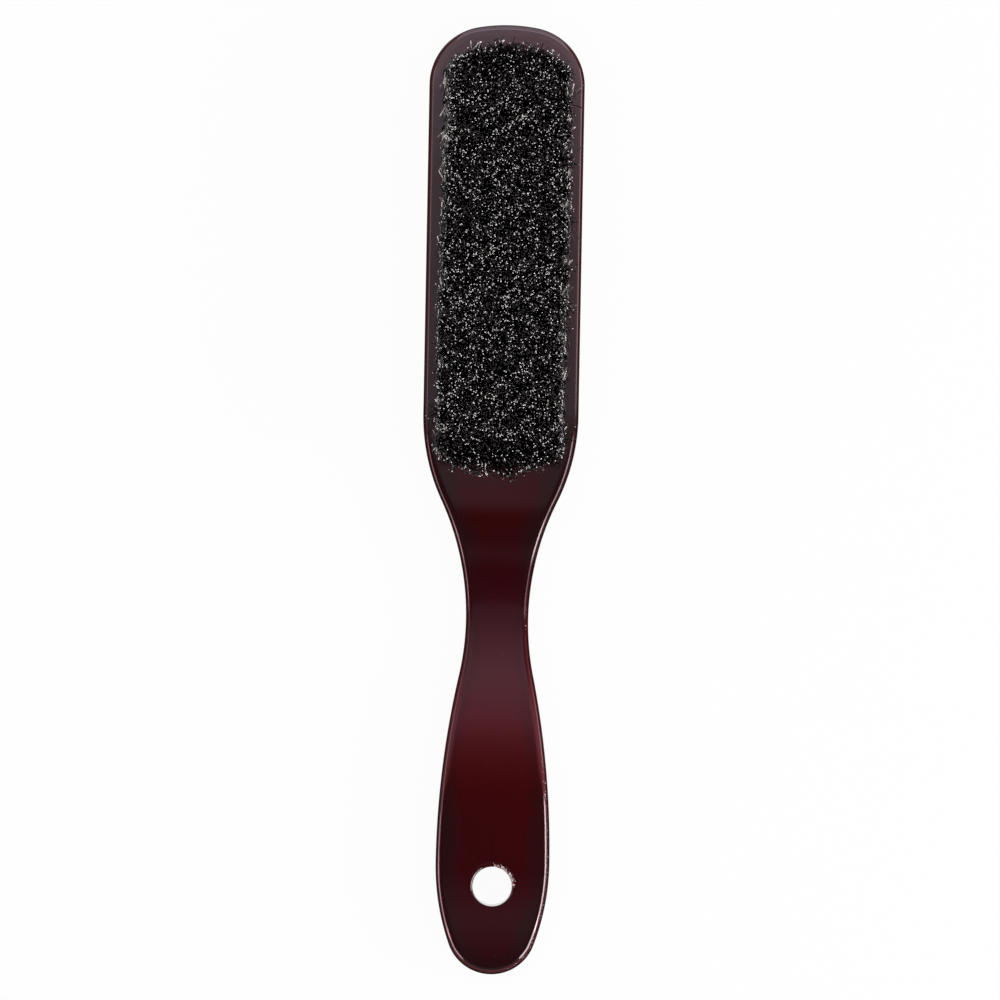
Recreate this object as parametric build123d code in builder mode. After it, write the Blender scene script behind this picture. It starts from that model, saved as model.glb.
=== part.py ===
from build123d import *
import os
from math import atan, cos, degrees, hypot, radians

# Fade brush: a one-piece hardwood brush, lacquered, with tufts of boar bristle. Each tuft is folded
# over a flat wire anchor at the bottom of its own drilled hole.
# The brush lies on its back with its bristles up. Z = 0 is the flat back, +Y points to the head,
# X is the symmetry axis, and the origin is under the middle of the length. Sizes are in mm.

# ---- Plan form, from the crown of the head down to the end of the handle ----
crown_length = 15.0  # from the end of the head to where its sides run straight
head_side_length = 81.8  # the straight sides of the head
shoulder_length = 50.9  # from the straight sides down to the narrowest point of the neck
grip_length = 60.5  # from the narrowest point of the neck to the widest point of the palm
butt_length = 27.8  # from the widest point of the palm to the end of the handle
head_width = 38.6
neck_width = 15.5
palm_width = 28.3
crown_radius = 41.0
butt_radius = 11.2
shoulder_turn = 0.42  # share of the way from head to neck where the outline turns from convex to hollow
grip_turn = 0.23  # share of the way from neck to palm where it turns back to convex

# ---- Side form ----
head_thickness = 13.0
neck_thickness = 10.6
palm_thickness = 13.4
butt_thickness = 10.5
dip_turn = 0.5  # share of the way down to the neck where the dipping front turns hollow
front_round = 2.5
back_bevel_width = 4.0
back_bevel_height = 2.5
overcut = 2.0  # how far the side view runs past the plan at both ends

# ---- Hanging hole ----
hanging_hole_diameter = 9.8
hanging_hole_inset = 22.0  # from the end of the handle to the middle of the hole
hanging_hole_bevel = 0.5

# ---- Tufts and their anchors ----
tuft_pitch = 9.6  # across the head, between the tufts of one row
row_pitch = 3.5  # along the head, between one row and the next, which stands half a pitch aside
crown_margin = 9.0  # from the end of the head to the first row
shoulder_reach = 12.0  # how far below the straight sides the tufts may stand
side_margin = 4.5  # the least distance from the side of the head to the middle of a tuft
tuft_hole_diameter = 3.4
tuft_hole_depth = 8.0
tuft_sides = 6  # a tuft and its hole have six flat sides
tuft_trim = 18.0  # free length of the bristles above the wood
tip_gap = 0.8  # between the fanned tips of neighbouring tufts
fold_height = 0.5  # the bristles that pass under the anchor
anchor_gauge = 0.4
anchor_height = 1.6
clearance = 0.05

# ---- Places and sizes that follow ----
brush_length = crown_length + head_side_length + shoulder_length + grip_length + butt_length
crown_y = brush_length / 2
head_end_y = crown_y - crown_length
shoulder_y = head_end_y - head_side_length
neck_y = shoulder_y - shoulder_length
palm_y = neck_y - grip_length
butt_y = palm_y - butt_length
hole_bottom_z = head_thickness - tuft_hole_depth
foot_z = hole_bottom_z + clearance
anchor_z = foot_z + fold_height + clearance
tip_z = head_thickness + tuft_trim

# A tuft fills the mouth of its hole, narrows to its fold, and fans out until it nearly meets the next.
nearest_tuft = min(hypot(tuft_pitch / 2, row_pitch), 2 * row_pitch, tuft_pitch)
mouth_radius = tuft_hole_diameter / 2 - clearance
tip_radius = (nearest_tuft - tip_gap) / 2
fan = (tip_radius - mouth_radius) / tuft_trim
fold_radius = mouth_radius - fan * (head_thickness - foot_z)
side_turn = 180 / tuft_sides  # a tuft is turned by this much, so that two of its flats face across the head
anchor_length = tuft_hole_diameter * cos(radians(side_turn)) - 2 * clearance


def between(start, end, share):
    """The place that lies this share of the way from start to end."""
    return start + (end - start) * share


def sway(start, end, turn, way):
    """Two tangent arcs that leave start and reach end along way, and change sides at turn."""
    middle = between(Vector(start), Vector(end), turn)
    first = TangentArc(start, middle, tangent=way)
    return TangentArc(middle, end, tangent=first % 1)


def rounded_end(tip, side, end_radius):
    """An end of an outline from its tip out to its side: an arc of end_radius and a second one, tangent."""
    length = abs(side.Y - tip.Y)
    side_radius = (side.X**2 + length**2 - 2 * length * end_radius) / (2 * (side.X - end_radius))
    end_centre = between(tip, Vector(0, side.Y), end_radius / length)
    side_centre = side - Vector(side_radius, 0)
    if end_radius > side_radius:
        join = end_centre + (side_centre - end_centre).normalized() * end_radius
    else:
        join = side_centre + (end_centre - side_centre).normalized() * side_radius
    first = TangentArc(tip, join, tangent=(1, 0))
    return TangentArc(join, side, tangent=first % 1)


def tuft_rows():
    """The place along the head of each row, with the places of its tufts across the head."""
    wide_row = int((head_width - 2 * side_margin) / tuft_pitch) + 1
    first_row_y = crown_y - crown_margin
    field_length = first_row_y - (shoulder_y - shoulder_reach)
    rows = []
    for row in range(int(field_length / row_pitch) + 1):
        tufts = wide_row - 1 if row % 2 == 0 else wide_row
        places = [tuft_pitch * (tuft - (tufts - 1) / 2) for tuft in range(tufts)]
        rows.append((first_row_y - row * row_pitch, places))
    return rows


rows = tuft_rows()
tuft_places = [(x, y) for y, places in rows for x in places]
os.makedirs("parts", exist_ok=True)

# ---- Wooden body: its plan, cut to its side view, eased at its edges, and drilled ----
head_corner = Vector(head_width / 2, head_end_y)
palm_side = Vector(palm_width / 2, palm_y)
with BuildPart() as wooden_body:
    with BuildSketch() as plan:
        with BuildLine():
            crown = rounded_end(Vector(0, crown_y), head_corner, crown_radius)
            head_side = Line(head_corner, (head_width / 2, shoulder_y))
            shoulder = sway(head_side @ 1, (neck_width / 2, neck_y), shoulder_turn, (0, -1))
            grip = sway(shoulder @ 1, palm_side, grip_turn, (0, -1))
            butt = rounded_end(Vector(0, butt_y), palm_side, butt_radius)
            mirror(about=Plane.YZ)
        make_face()
    extrude(amount=2 * max(head_thickness, palm_thickness))

    with BuildSketch(Plane.YZ.offset(-head_width)) as side_view:
        with BuildLine():
            dip_y = between(shoulder_y, neck_y, shoulder_turn)
            back = Line((butt_y - overcut, 0), (crown_y + overcut, 0))
            head_end = Line(back @ 1, (crown_y + overcut, head_thickness))
            head_face = Line(head_end @ 1, (dip_y, head_thickness))
            dip = sway(head_face @ 1, (neck_y, neck_thickness), dip_turn, (-1, 0))
            rise = sway(dip @ 1, (palm_y, palm_thickness), grip_turn, (-1, 0))
            fall = TangentArc(rise @ 1, (butt_y, butt_thickness), tangent=(-1, 0))
            Polyline(fall @ 1, (butt_y - overcut, butt_thickness), back @ 0)
        make_face()
    extrude(amount=2 * head_width, mode=Mode.INTERSECT)

    back_edges = edges().filter_by_position(Axis.Z, 0, 0)
    chamfer(back_edges, back_bevel_height, back_bevel_width)
    front_faces = faces().filter_by(lambda front: front.normal_at().Z > 0.9)
    fillet(front_faces.edges().filter_by(Axis.X, reverse=True), front_round)

    with Locations((0, butt_y + hanging_hole_inset, palm_thickness)):
        Hole(hanging_hole_diameter / 2)
    chamfer(edges(Select.LAST).filter_by(Axis.Z, reverse=True), hanging_hole_bevel)

    with BuildSketch(Plane.XY.offset(head_thickness)) as hole_mouths:
        with Locations(*tuft_places):
            RegularPolygon(tuft_hole_diameter / 2, tuft_sides, rotation=side_turn)
    extrude(amount=-tuft_hole_depth, mode=Mode.SUBTRACT)
wooden_body.part.label = "wooden_body"
export_step(wooden_body.part, "parts/wooden_body.step")

# ---- Anchors: a short piece of flat wire across the bottom of each hole ----
with BuildPart() as anchors:
    with Locations(*[(x, y, anchor_z) for x, y in tuft_places]):
        Box(anchor_length, anchor_gauge, anchor_height, align=(Align.CENTER, Align.CENTER, Align.MIN))
anchors.part.label = "anchors"
export_step(anchors.part, "parts/anchors.step")

# ---- One tuft, widening from its fold to its tips, with the window that its anchor passes through ----
with BuildPart() as tuft:
    with BuildSketch(Plane.XY.offset(foot_z)):
        RegularPolygon(fold_radius, tuft_sides, rotation=side_turn)
    extrude(amount=tip_z - foot_z)
    side_slope = degrees(atan(fan * cos(radians(side_turn))))
    draft(tuft.faces().filter_by(Axis.Z, reverse=True), Plane.XY.offset(foot_z), -side_slope)
    with Locations((0, 0, anchor_z - clearance)):
        Box(
            2 * tuft_hole_diameter,
            anchor_gauge + 2 * clearance,
            anchor_height + 2 * clearance,
            align=(Align.CENTER, Align.CENTER, Align.MIN),
            mode=Mode.SUBTRACT,
        )

# ---- Rows of tufts, from the crown down to the shoulder ----
for number, (y, places) in enumerate(rows, start=1):
    with BuildPart() as tuft_row:
        with Locations(*[(x, y) for x in places]):
            add(tuft.part)
    tuft_row.part.label = f"tuft_row_{number:02d}"
    export_step(tuft_row.part, f"parts/tuft_row_{number:02d}.step")
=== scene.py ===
import math
import bpy
import numpy as np
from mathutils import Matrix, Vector


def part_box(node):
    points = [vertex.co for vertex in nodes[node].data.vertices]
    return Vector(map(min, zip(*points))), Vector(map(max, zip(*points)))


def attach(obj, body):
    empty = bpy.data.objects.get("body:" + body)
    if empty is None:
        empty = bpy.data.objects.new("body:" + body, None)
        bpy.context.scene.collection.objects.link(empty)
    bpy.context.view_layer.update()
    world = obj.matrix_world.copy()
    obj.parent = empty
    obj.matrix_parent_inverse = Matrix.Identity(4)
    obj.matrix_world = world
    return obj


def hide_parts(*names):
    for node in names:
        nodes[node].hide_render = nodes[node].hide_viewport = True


# Fade brush, dressed: the lacquered wooden body, its tufts of bristles hair by hair, and the anchors.
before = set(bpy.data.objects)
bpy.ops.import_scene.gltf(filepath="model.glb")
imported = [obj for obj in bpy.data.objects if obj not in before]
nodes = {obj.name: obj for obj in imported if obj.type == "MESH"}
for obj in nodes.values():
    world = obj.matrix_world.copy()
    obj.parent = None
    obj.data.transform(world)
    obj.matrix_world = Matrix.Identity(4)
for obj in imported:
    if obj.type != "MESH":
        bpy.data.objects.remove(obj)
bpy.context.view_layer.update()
scene = bpy.context.scene
MM = 0.001

# ---- The brush's own sizes, in mm ----
CROWN_Y, HEAD_END_Y, SHOULDER_Y, NECK_Y, PALM_Y, BUTT_Y = 118.0, 103.0, 21.2, -29.7, -90.2, -118.0
HEAD_HALF, NECK_HALF, PALM_HALF = 19.3, 7.75, 14.15
CROWN_RADIUS, BUTT_RADIUS = 41.0, 11.2
SHOULDER_TURN, GRIP_TURN = 0.42, 0.23  # where a double bend of the outline turns, as a share of its length
THROAT_Y, DIP_TURN, RISE_TURN = -26.5, 0.5, 0.28  # side view: its lowest point, and the turns before and after
HEAD_T, NECK_T, PALM_T, BUTT_T = 13.0, 10.6, 13.4, 10.5
FRONT_ROUND, FRONT_DROP = 2.4, 1.4  # the eased front edge: its width, and how far it falls
BACK_WIDTH, BACK_HEIGHT = 4.0, 2.5  # the rounded back edge
HOLE_Y, HOLE_RADIUS = -96.0, 4.9
HOLE_RIM, HOLE_DROP = 1.5, 0.5  # the hole's eased rim at the front: its width, and how far it falls
HOLE_BACK_RIM = 0.7
TUFT_PITCH, TUFT_WIDTH = 9.6, 5.0
SOCKET_RADIUS, SOCKET_DEPTH = 1.7, 8.0
TIP_Z = 31.0

# ---- How finely curves are cut ----
OUTLINE_STEP, SIDE_STEP = 0.5, 0.25
BACK_STEPS, WALL_STEPS, FRONT_STEPS = 8, 4, 14
SOCKET_SIDES, HOLE_SIDES, BACK_RIM_STEPS, RIM_STEPS = 16, 72, 4, 8


# ---------------------------------------------------------------- outline and side view
def turned(way, angle):
    c, s = math.cos(angle), math.sin(angle)
    return np.array([way[0] * c - way[1] * s, way[0] * s + way[1] * c])


def arc(start, way, end, step=OUTLINE_STEP):
    """Points and directions along the arc that leaves start along way and reaches end."""
    start, way, end = (np.array(v, float) for v in (start, way, end))
    chord = end - start
    length = np.linalg.norm(chord)
    half_turn = math.asin(max(-1.0, min(1.0, (way[0] * chord[1] - way[1] * chord[0]) / length)))
    count = max(2, int(math.ceil(length / step)))
    run = []
    for i in range(count + 1):
        t = i / count
        if abs(half_turn) < 1e-6:
            run.append((start + chord * t, way))
            continue
        part = length * math.sin(half_turn * t) / math.sin(half_turn)
        run.append((start + turned(way, half_turn * t) * part, turned(way, 2 * half_turn * t)))
    return run


def sway(start, way, end, turn, step=OUTLINE_STEP):
    """A double bend: two arcs that meet at the given share of the way to end."""
    middle = np.array(start) + (np.array(end, float) - np.array(start)) * turn
    first = arc(start, way, middle, step)
    return first + arc(middle, first[-1][1], end, step)[1:]


def end_join(tip_y, side, radius):
    """Where the arc of an end meets the arc of its side."""
    length = abs(side[1] - tip_y)
    side_radius = (side[0] ** 2 + length**2 - 2 * length * radius) / (2 * (side[0] - radius))
    end_centre = np.array([0.0, tip_y + (side[1] - tip_y) * radius / length])
    side_centre = np.array([side[0] - side_radius, side[1]])
    if radius > side_radius:
        way = side_centre - end_centre
        return end_centre + way / np.linalg.norm(way) * radius
    way = end_centre - side_centre
    return side_centre + way / np.linalg.norm(way) * side_radius


def right_outline():
    """The right half of the plan, from the crown's tip to the butt's."""
    crown_join = end_join(CROWN_Y, (HEAD_HALF, HEAD_END_Y), CROWN_RADIUS)
    butt_join = end_join(BUTT_Y, (PALM_HALF, PALM_Y), BUTT_RADIUS)
    run = arc((0, CROWN_Y), (1, 0), crown_join)
    run += arc(crown_join, run[-1][1], (HEAD_HALF, HEAD_END_Y))[1:]
    run += arc((HEAD_HALF, HEAD_END_Y), (0, -1), (HEAD_HALF, SHOULDER_Y))[1:]
    run += sway((HEAD_HALF, SHOULDER_Y), (0, -1), (NECK_HALF, NECK_Y), SHOULDER_TURN)[1:]
    run += sway((NECK_HALF, NECK_Y), (0, -1), (PALM_HALF, PALM_Y), GRIP_TURN)[1:]
    run += arc((PALM_HALF, PALM_Y), (0, -1), butt_join)[1:]
    run += arc(butt_join, run[-1][1], (0, BUTT_Y))[1:]
    return run


def front_side_view():
    """The front face seen from the side: the y and the z of its points, from the butt to beyond the crown."""
    dip_y = SHOULDER_Y + (NECK_Y - SHOULDER_Y) * SHOULDER_TURN
    run = [(np.array([CROWN_Y + 5, HEAD_T]), None)]
    run += sway((dip_y, HEAD_T), (-1, 0), (THROAT_Y, NECK_T), DIP_TURN, SIDE_STEP)
    run += sway((THROAT_Y, NECK_T), (-1, 0), (PALM_Y, PALM_T), RISE_TURN, SIDE_STEP)[1:]
    run += arc((PALM_Y, PALM_T), (-1, 0), (BUTT_Y, BUTT_T), SIDE_STEP)[1:]
    return np.array([point for point, way in run])[::-1].T


outline = right_outline()
side_y, side_z = front_side_view()


def front_z(y):
    return np.interp(y, side_y, side_z)


# ---------------------------------------------------------------- meshes
def new_object(name, verts, faces, materials=(), indices=None, smooth=True):
    mesh = bpy.data.meshes.new(name)
    mesh.from_pydata([tuple(v) for v in verts], [], faces)
    for m in materials:
        mesh.materials.append(m)
    if indices is not None:
        mesh.polygons.foreach_set("material_index", indices)
    mesh.polygons.foreach_set("use_smooth", [smooth] * len(mesh.polygons))
    mesh.update()
    obj = bpy.data.objects.new(name, mesh)
    scene.collection.objects.link(obj)
    return obj


def quarter(steps):
    """Sine and cosine at each step of a quarter turn."""
    return [(math.sin(a), math.cos(a)) for a in (math.pi / 2 * i / steps for i in range(steps + 1))]


def body_shell():
    """The body before it is drilled: rings round the outline, and strips across its two faces."""
    half = len(outline) - 1
    points = np.array([p for p, w in outline])
    ways = np.array([w / np.linalg.norm(w) for p, w in outline])
    out = np.stack([-ways[:, 1], ways[:, 0]], axis=1)
    points[0, 0] = points[-1, 0] = 0.0
    out[0], out[-1] = (0, 1), (0, -1)
    mirror = np.array([-1.0, 1.0])
    loop = np.concatenate([points, points[1:-1][::-1] * mirror])
    loop_out = np.concatenate([out, out[1:-1][::-1] * mirror])
    count = len(loop)
    rings = []
    for sine, cosine in quarter(BACK_STEPS):
        xy = loop - loop_out * BACK_WIDTH * (1 - sine)
        rings.append((xy, np.full(count, BACK_HEIGHT * (1 - cosine))))
    for i in range(1, WALL_STEPS):
        top = front_z(loop[:, 1]) - FRONT_DROP
        rings.append((loop, BACK_HEIGHT + (top - BACK_HEIGHT) * i / WALL_STEPS))
    for sine, cosine in quarter(FRONT_STEPS):
        xy = loop - loop_out * FRONT_ROUND * (1 - cosine)
        rings.append((xy, front_z(xy[:, 1]) - FRONT_DROP * (1 - sine)))
    verts = np.concatenate([np.column_stack([xy, z]) for xy, z in rings]) * MM
    faces = []
    for k in range(len(rings) - 1):
        low, high = k * count, (k + 1) * count
        for i in range(count):
            j = (i + 1) % count
            faces.append((low + j, low + i, high + i, high + j))
    for base, upward in ((0, False), ((len(rings) - 1) * count, True)):
        for i in range(half):
            a, b = base + i, base + i + 1
            c = base + (count - i - 1) % count
            d = base + (count - i) % count
            if i == 0:
                face = (a, b, c)
            elif i == half - 1:
                face = (a, b, d)
            else:
                face = (a, b, c, d)
            faces.append(face[::-1] if upward else face)
    return verts, faces


def lathe(profile, sides, place):
    """A closed turned solid about Z; profile runs from bottom to top as (radius, z)."""
    verts, faces = [], []
    for r, z in profile:
        for i in range(sides):
            a = 2 * math.pi * (i + 0.5) / sides
            verts.append((place[0] + r * math.cos(a), place[1] + r * math.sin(a), z))
    for k in range(len(profile) - 1):
        for i in range(sides):
            j = (i + 1) % sides
            faces.append((k * sides + i, k * sides + j, (k + 1) * sides + j, (k + 1) * sides + i))
    faces.append(tuple(reversed(range(sides))))
    top = (len(profile) - 1) * sides
    faces.append(tuple(range(top, top + sides)))
    return verts, faces


def tuft_rows():
    """Name, place along Y and places along X of the tufts of each row, as the CAD nodes have them."""
    found = []
    for name in sorted(n for n in nodes if n.startswith("tuft_row_")):
        low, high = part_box(name)
        y = (low[1] + high[1]) / 2 / MM
        tufts = int(round(((high[0] - low[0]) / MM - TUFT_WIDTH) / TUFT_PITCH)) + 1
        found.append((name, y, [TUFT_PITCH * (i - (tufts - 1) / 2) for i in range(tufts)]))
    return found


rows = tuft_rows()


def cutter():
    """What is drilled out of the body: a blind hole for each tuft, and the hanging hole with its eased rims."""
    overcut, rim_lift, rim_flare, back_flare = 1.0, 0.03, 0.2, 0.8
    verts, faces = [], []

    def put(part):
        start = len(verts)
        verts.extend(tuple(c * MM for c in v) for v in part[0])
        faces.extend(tuple(start + i for i in f) for f in part[1])

    socket = [(SOCKET_RADIUS, HEAD_T - SOCKET_DEPTH), (SOCKET_RADIUS, HEAD_T + overcut)]
    for name, y, places in rows:
        for x in places:
            put(lathe(socket, SOCKET_SIDES, (x, y)))
    rim = float(front_z(HOLE_Y))
    profile = [(HOLE_RADIUS + back_flare, -overcut)]
    for sine, cosine in quarter(BACK_RIM_STEPS):
        profile.append((HOLE_RADIUS + HOLE_BACK_RIM * (1 - sine), HOLE_BACK_RIM * (1 - cosine)))
    for sine, cosine in quarter(RIM_STEPS):
        profile.append((HOLE_RADIUS + HOLE_RIM * (1 - cosine), rim + rim_lift - HOLE_DROP * (1 - sine)))
    profile.append((HOLE_RADIUS + HOLE_RIM + rim_flare, rim + overcut))
    put(lathe(profile, HOLE_SIDES, (0, HOLE_Y)))
    return verts, faces


# ---------------------------------------------------------------- shader helpers
def links(tree, pairs):
    for source, target in pairs:
        tree.links.new(source, target)


def feed(tree, socket, value):
    """Link a socket into the socket, or set its number or colour."""
    if hasattr(value, "is_linked"):
        tree.links.new(value, socket)
    elif isinstance(value, (int, float)):
        socket.default_value = value
    else:
        socket.default_value = (*value, 1)


def math_node(tree, operation, *values):
    n = tree.nodes.new("ShaderNodeMath")
    n.operation = operation
    for socket, value in zip(n.inputs, values):
        feed(tree, socket, value)
    return n.outputs[0]


def times(tree, first, *others):
    for other in others:
        first = math_node(tree, "MULTIPLY", first, other)
    return first


def plus(tree, first, *others):
    for other in others:
        first = math_node(tree, "ADD", first, other)
    return first


def minus(tree, a, b):
    return math_node(tree, "SUBTRACT", a, b)


def largest(tree, a, b):
    return math_node(tree, "MAXIMUM", a, b)


def ramp(tree, factor, stops, smooth=False):
    n = tree.nodes.new("ShaderNodeValToRGB")
    n.color_ramp.interpolation = "EASE" if smooth else "LINEAR"
    while len(n.color_ramp.elements) < len(stops):
        n.color_ramp.elements.new(0.5)
    for element, (place, colour) in zip(n.color_ramp.elements, stops):
        element.position = place
        element.color = (*colour, 1)
    tree.links.new(factor, n.inputs[0])
    return n.outputs["Color"]


def noise(tree, coords, scale, detail=3.0, rough=0.5):
    """Noise with the given waves per metre along X, Y and Z."""
    m = tree.nodes.new("ShaderNodeMapping")
    m.inputs["Scale"].default_value = scale
    n = tree.nodes.new("ShaderNodeTexNoise")
    n.inputs["Scale"].default_value = 1.0
    n.inputs["Detail"].default_value = detail
    n.inputs["Roughness"].default_value = rough
    links(tree, [(coords, m.inputs[0]), (m.outputs[0], n.inputs["Vector"])])
    return n.outputs["Fac"]


def span(tree, value, low, high, to_low=0.0, to_high=1.0, smooth=True):
    """to_low up to where value is low, to_high from where it is high, and a soft change between them."""
    n = tree.nodes.new("ShaderNodeMapRange")
    n.interpolation_type = "SMOOTHSTEP" if smooth else "LINEAR"
    n.clamp = True
    for key, number in (("From Min", low), ("From Max", high), ("To Min", to_low), ("To Max", to_high)):
        n.inputs[key].default_value = number
    tree.links.new(value, n.inputs["Value"])
    return n.outputs["Result"]


def even(tree, value, low, high, to_low, to_high):
    """As span, with an even change."""
    return span(tree, value, low, high, to_low, to_high, smooth=False)


def mix(tree, factor, a, b):
    n = tree.nodes.new("ShaderNodeMix")
    n.data_type = "RGBA"
    for socket, value in ((n.inputs[0], factor), (n.inputs[6], a), (n.inputs[7], b)):
        feed(tree, socket, value)
    return n.outputs[2]


def start_material(name):
    m = bpy.data.materials.new(name)
    m.use_nodes = True
    return m, m.node_tree, m.node_tree.nodes["Principled BSDF"]


# ---------------------------------------------------------------- where a point of the body is
# the places along Y, in mm, at which curve nodes hold the outline
STATIONS = np.concatenate([[-118, -116.5, -114.5, -112, -108, -104], np.arange(-100, 100, 8),
                           [101, 104, 107, 110, 113, 116, 118]])
SQUARE_REACH, SLOPE_REACH = 400.0, 50.0  # more than the curves' largest values, in mm2 and mm


def outline_curve(tree, along, values, reach):
    """A curve node along the brush; values are at its stations, between -reach and reach."""
    n = tree.nodes.new("ShaderNodeFloatCurve")
    curve = n.mapping.curves[0]
    n.mapping.clip_min_y = -1.0
    for _ in range(len(STATIONS) - 2):
        curve.points.new(0.5, 0.5)
    for point, station, value in zip(curve.points, STATIONS, values):
        point.location = ((station - BUTT_Y) / (CROWN_Y - BUTT_Y), value / reach)
    n.mapping.update()
    tree.links.new(along, n.inputs["Value"])
    return times(tree, n.outputs[0], reach)


def edge_distance(tree, x, along):
    """How far in from the outline a point is, in mm: (h^2 - x^2) / |its gradient|, with h the half width there."""
    ys = np.array([p[1] for p, w in outline])[::-1]
    square = np.array([p[0] for p, w in outline])[::-1] ** 2
    fine = np.linspace(BUTT_Y, CROWN_Y, 2361)
    squares = np.interp(fine, ys, square)
    slope = np.gradient(squares, fine) / 2
    slope = np.convolve(np.pad(slope, 8, mode="edge"), np.ones(17) / 17, "valid")
    h2 = outline_curve(tree, along, np.interp(STATIONS, fine, squares), SQUARE_REACH)
    d = outline_curve(tree, along, np.interp(STATIONS, fine, slope), SLOPE_REACH)
    x_mm = times(tree, x, 1 / MM)
    x2 = times(tree, x_mm, x_mm)
    length = math_node(tree, "SQRT", plus(tree, x2, times(tree, d, d)))
    return math_node(tree, "DIVIDE", minus(tree, h2, x2), largest(tree, times(tree, length, 2.0), 0.5))


class BodyPlace:
    """Sockets that tell where a point of the body is: x, y and z in m, inset and from_hole in mm."""

    def __init__(self, tree):
        coords = tree.nodes.new("ShaderNodeTexCoord")
        split = tree.nodes.new("ShaderNodeSeparateXYZ")
        facing = tree.nodes.new("ShaderNodeSeparateXYZ")
        self.place = coords.outputs["Object"]
        links(tree, [(self.place, split.inputs[0]), (coords.outputs["Normal"], facing.inputs[0])])
        self.x, self.y, self.z = split.outputs["X"], split.outputs["Y"], split.outputs["Z"]
        self.facing_y, self.facing_z = facing.outputs["Y"], facing.outputs["Z"]
        self.along = even(tree, self.y, BUTT_Y * MM, CROWN_Y * MM, 0.0, 1.0)
        self.inset = edge_distance(tree, self.x, self.along)
        self.cloud = noise(tree, self.place, (70, 34, 70), 4.0, 0.55)
        self.streaks = noise(tree, self.place, (900, 16, 900), 4.0, 0.6)
        reach = tree.nodes.new("ShaderNodeCombineXYZ")
        links(tree, [(self.x, reach.inputs[0]), (minus(tree, self.y, HOLE_Y * MM), reach.inputs[1])])
        far = tree.nodes.new("ShaderNodeVectorMath")
        far.operation = "LENGTH"
        tree.links.new(reach.outputs[0], far.inputs[0])
        self.from_hole = times(tree, far.outputs["Value"], 1 / MM)
        upper_right = tree.nodes.new("ShaderNodeVectorMath")
        upper_right.operation = "DOT_PRODUCT"
        upper_right.inputs[1].default_value = (0.72 / MM, 0.69 / MM, 0)
        tree.links.new(reach.outputs[0], upper_right.inputs[0])
        cosine = math_node(tree, "DIVIDE", upper_right.outputs["Value"], self.from_hole)
        self.hole_sector = span(tree, cosine, 0.5, 0.85)


# ---------------------------------------------------------------- the lacquered wood
# the stain along the brush, from the butt (0) to the crown (1): in the middle, and towards the sides; the
# brighter, pinker red in the middle over the rise of the grip is a painted red reflection on top of the stain
MIDDLE_STAIN_AND_SHEEN = [(0.0, (0.026, 0.0022, 0.0036)), (0.10, (0.036, 0.0022, 0.0036)),
                (0.19, (0.043, 0.0018, 0.0030)), (0.206, (0.0495, 0.0024, 0.0036)),
                (0.227, (0.0565, 0.0015, 0.0028)), (0.248, (0.064, 0.0014, 0.0034)),
                (0.27, (0.078, 0.0030, 0.0078)), (0.35, (0.050, 0.0032, 0.0070)),
                (0.39, (0.036, 0.0043, 0.0075)), (0.42, (0.030, 0.0014, 0.0034)),
                (0.479, (0.034, 0.0022, 0.0030)), (0.51, (0.039, 0.0014, 0.0024)),
                (0.60, (0.030, 0.0026, 0.0044)), (0.88, (0.022, 0.0030, 0.0044)),
                (0.97, (0.070, 0.0036, 0.0054))]
SIDE_STAIN = [(0.0, (0.0195, 0.0048, 0.0058)), (0.60, (0.0195, 0.0048, 0.0056)),
              (0.70, (0.0300, 0.0050, 0.0048)), (0.90, (0.0300, 0.0048, 0.0040)),
              (0.955, (0.044, 0.0052, 0.0052))]
# the field's dark below is painted shade on the wood between the tufts
# the rubbed red below is partly a painted red highlight line along the edge
RUBBED_HIGHLIGHT_RED, DUST, FIELD_PAINTED_SHADE = (0.110, 0.0085, 0.013), (0.16, 0.10, 0.10), (0.004, 0.002, 0.002)
# the chips' pale colour below is a painted glint
CHIP_RED, CHIP_PAINTED_GLINT = (0.22, 0.03, 0.04), (0.80, 0.72, 0.71)


def stain_and_sheen_colour(tree, at):
    """Wine red in the middle, nearly black towards the sides; brightest over the grip, where a painted red
    reflection is laid into the stain.
    """
    patch = even(tree, noise(tree, at.place, (110, 80, 110), 4.0, 0.6), 0.3, 0.7, -2.1, 2.1)
    burst = span(tree, plus(tree, at.inset, patch), 1.4, 8.8)
    burst = times(tree, burst, span(tree, at.cloud, 0.3, 0.7, 0.80, 1.0))
    # the red reaches the sides at the narrow part, and comes nearer to them at the right of the palm
    narrow = times(tree, span(tree, at.y, -0.008, -0.024), span(tree, at.y, -0.080, -0.067))
    palm = times(tree, span(tree, at.y, -0.060, -0.070), span(tree, at.y, -0.100, -0.088),
                 span(tree, at.x, 0.002, 0.008))
    spread = largest(tree, times(tree, narrow, 0.64), times(tree, palm, 0.34))
    burst = minus(tree, plus(tree, burst, spread), times(tree, burst, spread))
    return mix(tree, burst, ramp(tree, at.along, SIDE_STAIN), ramp(tree, at.along, MIDDLE_STAIN_AND_SHEEN))


def rubbed_edge_and_highlight(tree, at):
    """A redder band just inside the outline, wider at the grip: the lacquer rubbed thin there, and a painted red
    highlight line along the edge.
    """
    grip = times(tree, span(tree, at.y, -0.040, -0.052), span(tree, at.y, -0.076, -0.064))
    close = minus(tree, at.inset, times(tree, grip, 0.9))
    return times(tree, span(tree, at.inset, 0.38, 0.62), span(tree, close, 1.35, 0.85),
                 span(tree, at.y, -0.030, -0.056, 0.42, 1.0), even(tree, at.cloud, 0.35, 0.65, 0.45, 0.85),
                 span(tree, at.facing_z, 0.2, 0.5))


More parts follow.
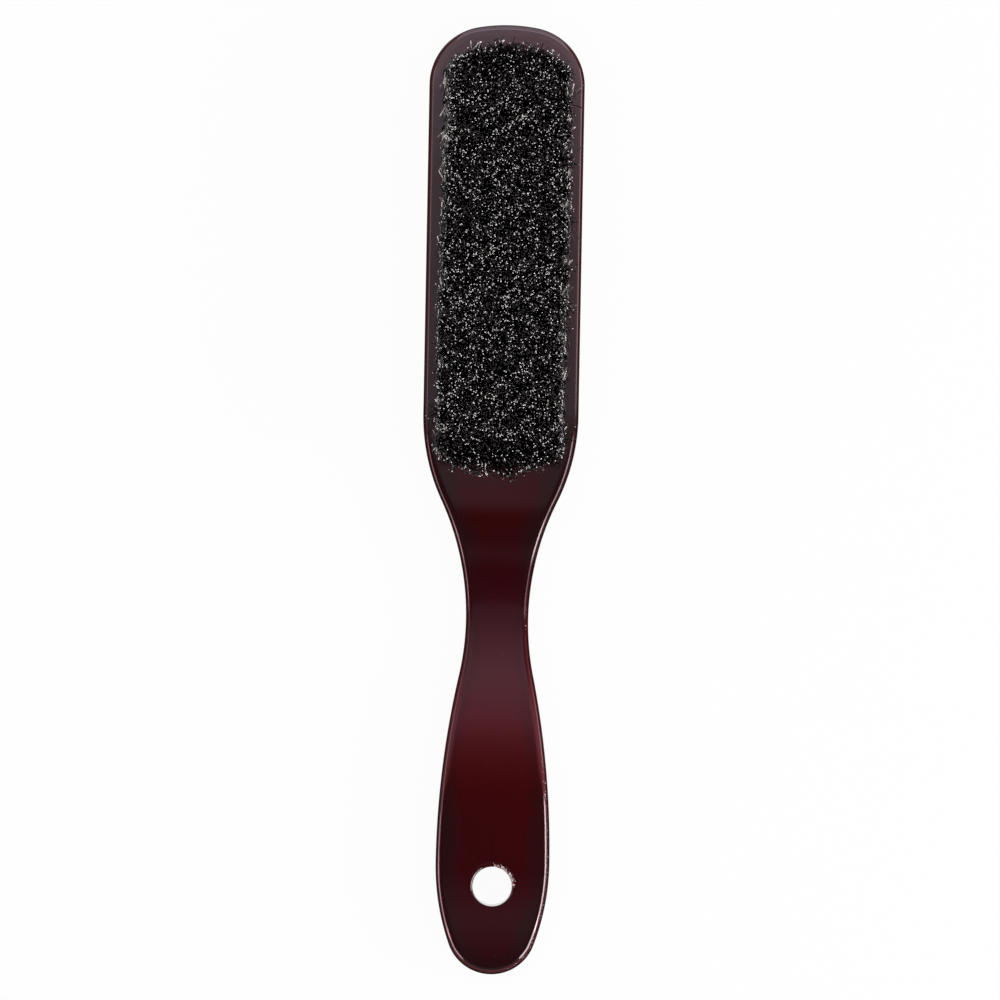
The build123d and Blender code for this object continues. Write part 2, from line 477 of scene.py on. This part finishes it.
def grained(tree, at, colour):
    """The colour with a faint grain along the brush."""
    fine = noise(tree, at.place, (3200, 60, 3200), 3.0, 0.6)
    grain = times(tree, even(tree, at.streaks, 0.3, 0.72, 0.975, 1.02), even(tree, fine, 0.3, 0.7, 0.985, 1.015))
    shade = tree.nodes.new("ShaderNodeVectorMath")
    shade.operation = "SCALE"
    links(tree, [(colour, shade.inputs[0]), (grain, shade.inputs["Scale"])])
    return shade.outputs[0]


def dust_specks(tree, at):
    """Specks of dust under the lacquer."""
    dust = tree.nodes.new("ShaderNodeTexVoronoi")
    dust.inputs["Scale"].default_value = 420
    tree.links.new(at.place, dust.inputs["Vector"])
    speck = math_node(tree, "LESS_THAN", dust.outputs["Distance"], 0.045)
    rare = math_node(tree, "GREATER_THAN", noise(tree, at.place, (260, 260, 260), 1.0), 0.60)
    return times(tree, speck, rare, 0.35)


def bristle_field(tree, at):
    """The front face between the tufts, where the wood is darkened as painted shade; its upper end is arched as
    the field is.
    """
    side = math_node(tree, "ABSOLUTE", at.x)
    arch = plus(tree, at.y, times(tree, at.x, at.x, 29.0))
    return times(tree, span(tree, side, 0.0158, 0.0145), span(tree, at.y, 0.0075, 0.0100),
                 span(tree, arch, 0.1142, 0.1118), span(tree, at.z, 0.011, 0.0125))


def chips_and_glints(tree, at):
    """Chips at the upper right of the hole's rim, and here and there along the right edge of the handle; their
    pale colour is a painted glint.
    """
    rim = times(tree, span(tree, at.from_hole, 6.3, 5.2), at.hole_sector)
    neck = times(tree, span(tree, at.y, -0.023, -0.026), span(tree, at.y, -0.034, -0.031, 0.0, 0.24))
    handle = span(tree, at.y, -0.056, -0.070, 0.0, 0.27)
    nicked = times(tree, span(tree, at.inset, 0.2, 0.45), span(tree, at.inset, 1.15, 0.8),
                   span(tree, at.x, 0.002, 0.005), plus(tree, neck, handle))
    ragged = largest(tree, times(tree, rim, 0.9), nicked)
    grit = noise(tree, at.place, (2700, 2400, 2700), 2.0, 0.7)
    return times(tree, span(tree, plus(tree, grit, times(tree, ragged, 0.30)), 0.70, 0.76),
                 span(tree, ragged, 0.05, 0.2), span(tree, at.facing_z, 0.1, 0.3))


def handled_dull(tree, at):
    """Where hands dulled the lacquer: the right edge of the neck, and a little at the foot of the bristles."""
    held = times(tree, span(tree, at.y, -0.012, -0.017), span(tree, at.y, -0.062, -0.040),
                 span(tree, at.inset, 1.85, 1.4), span(tree, at.x, -0.003, 0.003, 0.45, 0.85))
    foot = times(tree, span(tree, at.y, -0.008, -0.003), span(tree, at.y, 0.024, 0.018),
                 plus(tree, span(tree, at.inset, 1.9, 1.1, 0.38, 0.5), span(tree, at.x, 0, 0.01, 0, 0.1)))
    return largest(tree, held, foot)


def lacquer_cover(tree, at, field, chip_and_glint):
    """Thick on the faces and sides, thin over the edge, dull between the tufts, gone on the chips."""
    steep = plus(tree, at.facing_z, even(tree, at.facing_y, 0.2, 0.7, 0.0, 0.22))
    thin = times(tree, span(tree, at.facing_z, 0.12, 0.30), span(tree, steep, 0.82, 0.66), 0.92)
    cover = times(tree, minus(tree, 1.0, thin), minus(tree, 1.0, handled_dull(tree, at)),
                  minus(tree, 1.0, times(tree, field, 0.8)))
    cover = largest(tree, cover, span(tree, at.from_hole, 7.2, 6.6))
    return times(tree, cover, minus(tree, 1.0, chip_and_glint))


def lacquered_wood():
    m, tree, shader = start_material("lacquered_wood")
    at = BodyPlace(tree)
    field, chip_and_glint = bristle_field(tree, at), chips_and_glints(tree, at)
    # a redder band inside the outline: rubbed lacquer, and a painted red highlight line along the edge
    colour = mix(tree, rubbed_edge_and_highlight(tree, at), stain_and_sheen_colour(tree, at), RUBBED_HIGHLIGHT_RED)
    colour = grained(tree, at, colour)
    colour = mix(tree, dust_specks(tree, at), colour, DUST)
    # painted shade: the wood between the tufts darkened where the bristles shade it
    colour = mix(tree, times(tree, field, 0.8), colour, FIELD_PAINTED_SHADE)
    # chips of bare red wood, with pale painted glints
    broken = span(tree, noise(tree, at.place, (1500, 1500, 1500), 1.0), 0.38, 0.54)
    colour = mix(tree, chip_and_glint, colour, mix(tree, broken, CHIP_RED, CHIP_PAINTED_GLINT))
    # a faint orange peel and the grain's streaks, with the chips sunk in
    peel = tree.nodes.new("ShaderNodeBump")
    peel.inputs["Strength"].default_value = 0.06
    peel.inputs["Distance"].default_value = 0.0001
    skin = plus(tree, noise(tree, at.place, (900, 500, 900), 2.0), times(tree, at.streaks, 0.15),
                times(tree, chip_and_glint, -3.0))
    shader.inputs["Specular IOR Level"].default_value = 0.0
    shader.inputs["Coat Roughness"].default_value = 0.075
    links(tree, [(colour, shader.inputs["Base Color"]),
                 (even(tree, at.cloud, 0.3, 0.7, 0.38, 0.5), shader.inputs["Roughness"]),
                 (lacquer_cover(tree, at, field, chip_and_glint), shader.inputs["Coat Weight"]),
                 (skin, peel.inputs["Height"]), (peel.outputs[0], shader.inputs["Normal"]),
                 (peel.outputs[0], shader.inputs["Coat Normal"])])
    return m


# ---------------------------------------------------------------- the other materials
def bristle_material(name, dark, light, rough, specular):
    """Hairs that differ one from the next, with a faint mottle along them."""
    m, tree, shader = start_material(name)
    island = tree.nodes.new("ShaderNodeNewGeometry").outputs["Random Per Island"]
    coords = tree.nodes.new("ShaderNodeTexCoord")
    mottle = noise(tree, coords.outputs["Object"], (2600, 2600, 900), 2.0)
    pick = plus(tree, times(tree, island, 0.8), times(tree, mottle, 0.2))
    links(tree, [(ramp(tree, pick, [(0.05, dark), (0.95, light)]), shader.inputs["Base Color"]),
                 (even(tree, mottle, 0.3, 0.7, rough - 0.05, rough + 0.08), shader.inputs["Roughness"])])
    shader.inputs["Specular IOR Level"].default_value = specular
    return m


def anchor_wire():
    """Drawn wire, streaked along X."""
    m, tree, shader = start_material("anchor_wire")
    coords = tree.nodes.new("ShaderNodeTexCoord")
    drawn = noise(tree, coords.outputs["Object"], (300, 6000, 6000), 2.0)
    metal = ramp(tree, drawn, [(0.3, (0.45, 0.44, 0.42)), (0.7, (0.66, 0.65, 0.63))])
    links(tree, [(metal, shader.inputs["Base Color"]),
                 (even(tree, drawn, 0.3, 0.7, 0.26, 0.42), shader.inputs["Roughness"])])
    shader.inputs["Metallic"].default_value = 1.0
    return m


wood = lacquered_wood()
hair = bristle_material("bristle_shaft", (0.003, 0.003, 0.003), (0.017, 0.015, 0.014), 0.32, 0.5)
tip_pale = bristle_material("bristle_tip_pale", (0.72, 0.69, 0.66), (0.97, 0.95, 0.92), 0.55, 0.3)
tip_grey = bristle_material("bristle_tip_grey", (0.08, 0.07, 0.065), (0.32, 0.29, 0.27), 0.55, 0.3)

# ---------------------------------------------------------------- wooden body
body = new_object("lacquered_body", *body_shell(), materials=[wood])
drill = new_object("drill", *cutter(), smooth=False)
cut = body.modifiers.new("drilled", "BOOLEAN")
cut.object = drill
cut.solver = "EXACT"
drilled = bpy.data.meshes.new_from_object(body.evaluated_get(bpy.context.evaluated_depsgraph_get()))
body.modifiers.clear()
body.data = drilled
drilled.name = "lacquered_body"
bpy.data.objects.remove(drill)
drilled.polygons.foreach_set("use_smooth", [True] * len(drilled.polygons))
drilled.set_sharp_from_angle(angle=math.radians(32))
weighted = body.modifiers.new("face_normals", "WEIGHTED_NORMAL")
weighted.keep_sharp = True
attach(body, "root")
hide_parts("wooden_body")

# ---------------------------------------------------------------- bristles
HAIRS = 170  # in a tuft
SIDES = 4
PALE, GREY = 0.172, 0.055  # shares of the hairs whose ends are pale and grey
PALE_KIND, GREY_KIND, DARK_KIND = 0.1, PALE + 0.01, 0.9  # a hair's kind is a number from 0 to 1
ROOT_Z, ROOT_SPREAD = 9.0, 1.38
FAN_X, END_FAN_X, FAN_Y = 4.5, 5.4, 3.5  # half width of a tuft's tips; the first and last rows' are wider
SIDE_REACH = 15.5  # how far out the side tips are lined up
GAUGE = (0.09, 0.125)  # half the thickness of a hair
SHORT_END = 0.014  # the split end, as a share of the hair
END_FLARE, LONG_END_FLARE = 1.44, 1.15
# gaps where the pale ends are missing: place along X and Y, and radius
BLOTS = np.array([(1, 66, 1.5), (10, 72, 1.5), (-9.5, 72, 1.5), (4.5, 47, 1.3), (-9, 23, 1.5), (-10, 37, 1.3),
                  (-4, 28, 1.4), (-4, 49, 1.3), (1, 79, 1.3), (4, 41, 1.2), (4.5, 77, 1.2), (-1, 14, 1.3),
                  (4, 36, 1.2), (5, 103, 1.3), (9, 94, 1.5), (-10, 94, 1.4), (-7.5, 81, 1.3), (3, 20, 1.4),
                  (9, 31, 1.2), (3, 110, 1.1), (-8, 31, 1.2), (-7, 89, 1.2), (0, 52, 1.1), (5, 28, 1.1),
                  (5, 89, 1.2), (8.5, 52, 1.2), (10, 66, 1.2), (-5, 69, 1.1), (-4, 21, 1.1), (-1, 33, 1.0),
                  (5, 15, 1.1)]) + (0, 0, 0.3)
# single hairs that show over the crown's wood: place along X and Y, bend along X and Y, whether its end is pale
CROWN_STRAYS = [(-1.1, 112.4, -1.7, 2.1, False), (-1.9, 112.2, 0.5, 2.2, False), (1.1, 112.6, 0.7, 2.0, False),
                (-8.9, 110.4, -0.3, 2.6, True), (-8.1, 110.6, 0.8, 2.0, True), (11.9, 109.2, -0.9, 2.1, True),
                (-4.2, 112.0, 0.9, 1.7, False), (7.6, 111.3, 1.1, 1.6, False)]
rng = np.random.default_rng(227)
wave = np.cumsum(rng.normal(0, 0.42, (2, len(rows))), axis=1)  # how the two sides wander from row to row
wave -= wave.mean(axis=1)[:, None]


def field_top(x):
    return 113.5 - 0.030 * x**2


def field_bottom(x):
    return 5.2 + 0.026 * (x + 2)**2 * (0.8 + 0.4 * (x < -2))


def stretch_to_ends(tip, y, top, bottom):
    """The tips of the two rows at each end reach on to the end of the field."""
    full = 3.4
    if y > rows[2][1]:
        upper = tip[:, 1] > y
        tip[upper, 1] = y + (tip[upper, 1] - y) * np.maximum(1.0, (top[upper] - y) / full)
    if y < rows[-3][1]:
        lower = tip[:, 1] < y
        tip[lower, 1] = y + (tip[lower, 1] - y) * np.maximum(1.0, (y - bottom[lower]) / full)


def tuft_hairs(x, y, row):
    """Root, tip, bow, curl, tip share and kind of each hair of one tuft."""
    outward = math.copysign(1.0, x)
    at_side = abs(x) > 14
    r = np.sqrt(rng.random(HAIRS))
    a = rng.random(HAIRS) * 2 * math.pi
    disc = np.column_stack([r * np.cos(a), r * np.sin(a)])
    root = np.column_stack([x + disc[:, 0] * ROOT_SPREAD, y + disc[:, 1] * ROOT_SPREAD, np.full(HAIRS, ROOT_Z)])
    width = END_FAN_X if row in (0, len(rows) - 1) else FAN_X
    if row in (0, 1, len(rows) - 2, len(rows) - 1):
        disc = rng.uniform(-1, 1, (HAIRS, 2))
        disc[:, 1] = np.sign(disc[:, 1]) * np.abs(disc[:, 1]) ** 0.75
    fan = disc * (width, FAN_Y) + rng.normal(0, 0.3, 2) + rng.normal(0, 0.45, (HAIRS, 2))
    stray = rng.random(HAIRS) < 0.02
    fan[stray] += rng.uniform(-1.7, 1.7, (stray.sum(), 2))
    tip = np.array([x, y]) + fan

    # the tips at the sides are lined up, a little further in at the upper left
    edge = SIDE_REACH + np.clip(wave[int(x > 0), row], -1.0, 0.3) + rng.normal(0, 0.50, HAIRS)
    if x < 0:
        edge -= 0.8 * min(max((y - 45) / 55, 0), 1)
    lined = np.abs(tip[:, 0]) > edge
    tip[lined, 0] = np.sign(tip[lined, 0]) * edge[lined]
    tip[lined, 1] += rng.normal(0, 2.4, lined.sum())
    top, bottom = field_top(tip[:, 0]), field_bottom(tip[:, 0])
    stretch_to_ends(tip, y, top, bottom)
    tip[:, 1] = np.clip(tip[:, 1], bottom + rng.normal(0, 0.7, HAIRS), top + rng.normal(0, 0.5, HAIRS))

    # a bunch at the side lies over along the edge, and towards the middle of the field at its corners
    swept = (rng.random(HAIRS) < 0.05) & at_side & (rng.random() < 0.8)
    tip[swept, 0] = outward * rng.uniform(13.8, 15.6, swept.sum())
    lean = 1.0 if rng.random() < 0.5 else -1.0
    if y > field_top(SIDE_REACH) - 4.5 or y < field_bottom(SIDE_REACH) + 4.5:
        lean = -math.copysign(1.0, y - 50)
    tip[swept, 1] = y + lean * rng.uniform(-0.6, 1.8, swept.sum())
    # a few hairs of a side tuft stand out over the wood
    splayed = np.zeros(HAIRS, bool)
    if at_side and rng.random() < (0.45 if x > 0 else 0.18):
        splayed = rng.random(HAIRS) < 0.075
        tip[splayed, 0] += outward * rng.uniform(0.8, 2.6, splayed.sum())

    # how far below the trim each hair ends
    drop = np.abs(rng.normal(0, 0.45, HAIRS)) + np.where(rng.random(HAIRS) < 0.12, rng.random(HAIRS) * 2.4, 0)
    kind = rng.random(HAIRS)
    drop *= np.where(kind < PALE, 0.35, 1.0)
    drop += np.where(lined, rng.random(HAIRS) * 3.0, 0) + np.where(splayed, rng.uniform(1, 5, HAIRS), 0)
    drop[swept] = rng.uniform(0, 1.6, swept.sum())
    reach = np.linalg.norm(tip - root[:, :2], axis=1)
    tip = np.column_stack([tip, TIP_Z - 0.05 - drop - 0.02 * reach**2])

    # each hair bows on its way up, and some hook at the end
    bow = np.column_stack([rng.normal(0, 0.32, (HAIRS, 2)) - 0.16 * (tip[:, :2] - root[:, :2]), np.zeros(HAIRS)])
    turn = rng.random(HAIRS) * 2 * math.pi
    hook = rng.random(HAIRS) ** 3 * 1.5
    curl = np.column_stack([np.cos(turn) * hook, np.sin(turn) * hook, -0.35 * hook])
    curl[lined, 0] *= 0.25
    sweep = [outward * rng.normal(0.5, 0.6, HAIRS), lean * rng.uniform(1.5, 3.4, HAIRS),
             -rng.uniform(0.3, 1.0, HAIRS)]
    curl[swept] = np.column_stack(sweep)[swept]

    # how much of the end is pale or grey, and on which hairs; the long pale lengths on the hairs at the sides and
    # ends of the field are painted highlights along the hair
    share = np.where(rng.random(HAIRS) < 0.35, rng.uniform(0.02, 0.07, HAIRS), SHORT_END)
    outer = lined | (tip[:, 1] > top - 1.2)
    painted_highlight_length = rng.uniform(0.08, 0.42, HAIRS) * np.where(lined, 1.0, 0.25)
    share = np.where(outer & (rng.random(HAIRS) < np.where(lined, 0.6, 0.3)), np.maximum(painted_highlight_length, 0.03), share)
    blotted = (np.linalg.norm(tip[:, None, :2] - BLOTS[None, :, :2], axis=2) < BLOTS[None, :, 2]).any(axis=1)
    kind = np.where(blotted & (rng.random(HAIRS) < 0.85), DARK_KIND, kind)
    kind = np.where(splayed, np.where(kind < 0.4, GREY_KIND, DARK_KIND), kind)
    kind = np.where(lined, kind * 0.68, kind)
    share = np.where(splayed, SHORT_END, share)
    # the swept bunches' long pale and grey lengths are painted highlights along the hair
    share = np.where(swept, rng.uniform(0.25, 0.41, HAIRS), share)
    bunch = rng.choice([PALE_KIND, GREY_KIND, DARK_KIND], HAIRS, p=[0.4, 0.35, 0.25])
    kind = np.where(swept, bunch, kind)
    near = [s for s in CROWN_STRAYS if row == 0 and abs(s[0] - x) < TUFT_PITCH / 2]
    for k, (stray_x, stray_y, bend_x, bend_y, is_pale) in enumerate(near):
        tip[k] = (stray_x, stray_y, TIP_Z - 0.4)
        curl[k] = (bend_x, bend_y, -0.9)
        share[k], kind[k] = (0.22, PALE_KIND) if is_pale else (SHORT_END, DARK_KIND)
    return root, tip, bow, curl, share, kind


def hair_rings(root, tip, bow, curl, share):
    """The rings of all hairs from root to tip, as an array of hairs, rings, sides and coordinates."""
    count = len(root)
    gauge = rng.uniform(*GAUGE, count)
    spin = rng.random(count) * 2 * math.pi
    steps = [np.full(count, t) for t in (0.0, 0.30, 0.58, 0.82)] + [1 - share, np.ones(count)]
    steps[3] = np.minimum(steps[3], np.maximum(1 - share - 0.04, 0.585))
    sizes = (1.0, 1.0, 0.98, 0.95, 1.0, np.where(share > 0.1, LONG_END_FLARE, END_FLARE))
    curl_start, curl_length = 0.72, 0.28
    rings = []
    for t, relative in zip(steps, sizes):
        t = t[:, None]
        late = np.clip((t - curl_start) / curl_length, 0, 1)
        centre = root + (tip - root) * t + bow * (4 * t * (1 - t)) + curl * late**2
        way = (tip - root) + bow * (4 - 8 * t) + curl * late * (2 / curl_length)
        way /= np.linalg.norm(way, axis=1)[:, None]
        across = np.cross(way, np.array([0.0, 1.0, 0.0]))
        across /= np.linalg.norm(across, axis=1)[:, None]
        other = np.cross(way, across)
        size = gauge * relative
        ring = []
        for s in range(SIDES):
            a = spin + 2 * math.pi * s / SIDES
            ring.append(centre + across * (np.cos(a) * size)[:, None] + other * (np.sin(a) * size)[:, None])
        rings.append(np.stack(ring, axis=1))
    return np.stack(rings, axis=1)


def hair_mesh(name, row, tufts):
    root, tip, bow, curl, share, kind = (
        np.concatenate(v) for v in zip(*(tuft_hairs(x, y, row) for x, y in tufts)))
    rings = hair_rings(root, tip, bow, curl, share)
    count, levels = rings.shape[:2]
    verts = rings.reshape(-1, 3)
    verts[:, 2] = np.minimum(verts[:, 2], TIP_Z)
    verts *= MM
    per = levels * SIDES
    shape, at_end = [], []
    for k in range(levels - 1):
        for s in range(SIDES):
            n = (s + 1) % SIDES
            shape.append((k * SIDES + s, k * SIDES + n, (k + 1) * SIDES + n, (k + 1) * SIDES + s))
            at_end.append(1 if k == levels - 2 else 0)
    shape.append(tuple(reversed(range(SIDES))))
    at_end.append(0)
    shape.append(tuple(range(per - SIDES, per)))
    at_end.append(1)
    faces = (np.arange(count)[:, None, None] * per + np.array(shape)[None]).reshape(-1, SIDES).tolist()
    tip_slot = np.where(kind < PALE, 1, np.where(kind < PALE + GREY, 2, 0))
    indices = (tip_slot[:, None] * np.array(at_end)[None]).reshape(-1).tolist()
    return new_object(name, verts, faces, [hair, tip_pale, tip_grey], indices)


for row, (name, y, places) in enumerate(rows):
    piece = hair_mesh(name.replace("tuft_row", "bristle_row"), row, [(x, y) for x in places])
    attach(piece, "root")
    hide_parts(name)

nodes["anchors"].data.materials.clear()
nodes["anchors"].data.materials.append(anchor_wire())

# ---------------------------------------------------------------- stage
FLOOR_HALF, FLOOR_Z = 9, -0.0004
WHITE_SHARE = 0.95  # how much of the floor is plain white to the camera and in reflections
corners = [(x, y, FLOOR_Z) for x, y in ((-FLOOR_HALF, -FLOOR_HALF), (FLOOR_HALF, -FLOOR_HALF),
                                        (FLOOR_HALF, FLOOR_HALF), (-FLOOR_HALF, FLOOR_HALF))]
floor = new_object("floor", corners, [(0, 1, 2, 3)], smooth=False)
paper, tree, shader = start_material("white_paper")
shader.inputs["Roughness"].default_value = 0.9
shader.inputs["Base Color"].default_value = (0.9, 0.9, 0.9, 1)
path = tree.nodes.new("ShaderNodeLightPath")
seen = largest(tree, path.outputs["Is Camera Ray"],
               largest(tree, path.outputs["Is Glossy Ray"], path.outputs["Is Transmission Ray"]))
pale = tree.nodes.new("ShaderNodeEmission")
pale.inputs["Color"].default_value = (1, 1, 1, 1)
pale.inputs["Strength"].default_value = 1.0
blend = tree.nodes.new("ShaderNodeMixShader")
links(tree, [(times(tree, seen, WHITE_SHARE), blend.inputs[0]), (shader.outputs[0], blend.inputs[1]),
             (pale.outputs[0], blend.inputs[2]),
             (blend.outputs[0], tree.nodes["Material Output"].inputs["Surface"])])
floor.data.materials.append(paper)

# a dim room, by the sine of the height: brightest some 27 degrees up, dark overhead
ROOM = [(0.0, (0.08, 0.08, 0.08)), (0.12, (0.30, 0.29, 0.31)), (0.45, (0.48, 0.46, 0.50)),
        (0.62, (0.15, 0.15, 0.15)), (0.80, (0.008, 0.008, 0.008))]
world = bpy.data.worlds.new("studio")
scene.world = world
world.use_nodes = True
tree = world.node_tree
way = tree.nodes.new("ShaderNodeTexCoord")
split = tree.nodes.new("ShaderNodeSeparateXYZ")
tree.links.new(way.outputs["Generated"], split.inputs[0])
tree.links.new(ramp(tree, split.outputs["Z"], ROOM, True), tree.nodes["Background"].inputs["Color"])
tree.nodes["Background"].inputs["Strength"].default_value = 1.0

# ---------------------------------------------------------------- light
COOL, ROSE, WHITE = (1.0, 0.95, 1.12), (1.0, 0.60, 0.65), (1, 1, 1)
GLOSS, BOTH, MATT = (True, False), (True, True), (False, True)  # whether a lamp lights gloss, and matt colour


def softbox(name, place, aim, size, radiance, effect, tint):
    """A rectangular lamp; its face shines with the given radiance."""
    lamp = bpy.data.lights.new(name, "AREA")
    lamp.shape = "RECTANGLE"
    lamp.size, lamp.size_y = size
    lamp.energy = radiance * math.pi * size[0] * size[1]
    lamp.color = tint
    obj = bpy.data.objects.new(name, lamp)
    scene.collection.objects.link(obj)
    obj.location = place
    obj.rotation_euler = (Vector(aim) - Vector(place)).to_track_quat("-Z", "Y").to_euler()
    obj.visible_glossy, obj.visible_diffuse = effect
    obj.visible_camera = False


# a large soft reflector close above the head, brighter towards the crown and fading out over the neck:
# strips side by side, each with the Y at which it starts and its radiance
LEFT, RIGHT, FAR = -0.46, 0.67, 0.60
REFLECTOR_Z = 0.4
strips = [(-0.044, 0.04), (-0.038, 0.08), (-0.030, 0.16), (-0.020, 0.26), (-0.010, 0.38), (0.002, 0.48),
          (0.010, 0.55), (0.045, 0.63), (0.075, 0.74), (0.100, 0.98), (0.120, 1.28), (0.140, 1.50), (FAR, 0)]
for number, ((near, radiance), (far, _)) in enumerate(zip(strips, strips[1:])):
    middle = ((LEFT + RIGHT) / 2, (near + far) / 2)
    softbox(f"overhead_{number}", (*middle, REFLECTOR_Z), (*middle, 0), (RIGHT - LEFT, far - near), radiance,
            GLOSS, COOL)
softbox("behind", (0.1, 0.95, 0.42), (0, 0.1, 0.01), (1.3, 0.8), 1.9, GLOSS, (1.0, 0.92, 1.15))
# a faint glow near the butt, stacked so that it fades outward
for number, size in enumerate([(0.34, 0.15), (0.28, 0.11), (0.20, 0.07), (0.12, 0.035)]):
    softbox(f"below_{number}", (0, -0.205, REFLECTOR_Z + 0.001 * number), (0, -0.205, 0), size, 0.035, GLOSS, COOL)
# the lamps of the edge lines: name, place, where along Y it aims, size, radiance, effect and tint
for name, place, aim_y, size, radiance, effect, tint in [
        ("lower_right", (0.46, -0.22, 0.42), -0.22, (0.38, 0.15), 17.0, GLOSS, (1.0, 0.88, 0.90)),
        ("butt_right", (0.36, -0.47, 0.42), -0.11, (0.30, 0.15), 15.5, GLOSS, (1.0, 0.90, 0.92)),
        ("butt_left", (-0.38, -0.50, 0.36), -0.11, (0.30, 0.13), 9.0, GLOSS, (1.0, 0.66, 0.70)),
        ("upper_right", (0.62, 0.19, 0.36), 0.19, (0.32, 0.14), 3.7, BOTH, (1.0, 0.86, 0.90)),
        ("lower_left", (-0.62, -0.32, 0.39), -0.32, (0.42, 0.17), 8.5, GLOSS, ROSE),
        ("middle_left", (-0.62, -0.08, 0.39), -0.08, (0.07, 0.17), 6.0, GLOSS, ROSE),
        ("upper_left", (-0.75, 0.18, 0.60), 0.18, (0.44, 0.12), 3.4, BOTH, (1.0, 0.66, 0.72)),
        ("right_fill", (0.75, -0.17, 0.41), -0.17, (0.36, 0.20), 12.0, MATT, WHITE)]:
    softbox(name, place, (0, aim_y, 0.01), size, radiance, effect, tint)
softbox("fill", (0, -0.1, 1.5), (0, 0, 0), (1.8, 1.8), 1.75, MATT, WHITE)

# ---------------------------------------------------------------- camera
CAMERA_REACH = 2.4  # m, from the front of the head
CAMERA_SIDE = 0.00017  # m to the right of the brush's middle
VIEW_WIDTH = 0.2483  # m, what the picture takes in at the front of the head
LEAN = 1.08  # degrees that the brush leans in the photo
SENSOR = 36  # mm
camera = bpy.data.cameras.new("camera")
camera_object = bpy.data.objects.new("camera", camera)
scene.collection.objects.link(camera_object)
camera_object.location = (CAMERA_SIDE, 0, HEAD_T * MM + CAMERA_REACH)
camera_object.rotation_euler = (0, 0, math.radians(LEAN))
camera.lens = SENSOR * CAMERA_REACH / VIEW_WIDTH
camera.clip_start = 0.05
camera.clip_end = 50
scene.camera = camera_object
scene.view_settings.view_transform = "Standard"
